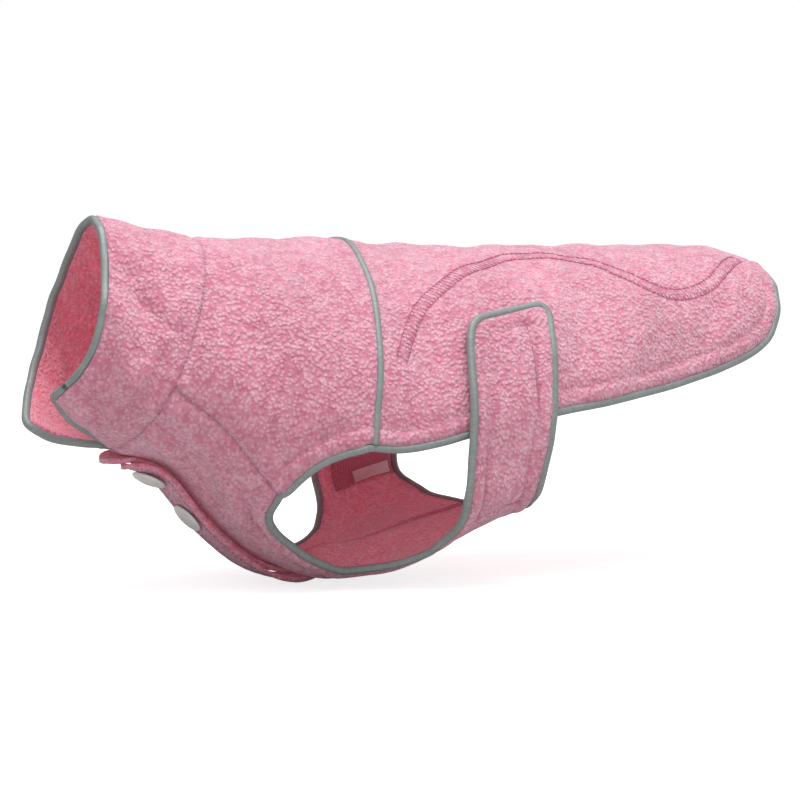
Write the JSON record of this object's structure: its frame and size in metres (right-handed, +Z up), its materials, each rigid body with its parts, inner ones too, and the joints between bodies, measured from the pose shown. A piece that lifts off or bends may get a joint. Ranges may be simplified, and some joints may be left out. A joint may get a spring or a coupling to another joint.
{
  "type": "dog winter coat",
  "caption": "Fleece coat for a small dog: stand-up collar, yoke, rounded back panel, chest panel with side straps and snap front, bound edges; worn shape, empty.",
  "frame": {"origin": "inner face of the cloth on the withers, where the neck seam crosses the back", "axes": "+X to the tail, +Y to the wearer's right side, +Z up away from the back"},
  "size_m": [0.383, 0.1542, 0.1662],
  "materials": {
    "fleece": "pebbled polar fleece, matte",
    "binding": "woven reflective tape, satin",
    "hook_tape": "dyed hook tape, matte",
    "label": "plain satin tape, blank",
    "snap": "moulded, half gloss"
  },
  "bodies": {
    "root": {"collar": "fleece", "collar_binding": "binding", "yoke": "fleece", "back_panel": "fleece", "shoulder_piping": "binding", "chest_and_strap_near": "fleece", "strap_binding_near": "binding", "chest_and_strap_far": "fleece", "strap_binding_far": "binding", "hem_binding": "binding", "hook_tape_near": "hook_tape", "hook_tape_far": "hook_tape", "care_label": "label", "front_underlap": "fleece", "front_overlap": "fleece", "snap_cap_upper": "snap", "snap_cap_lower": "snap"}
  },
  "joints": []
}
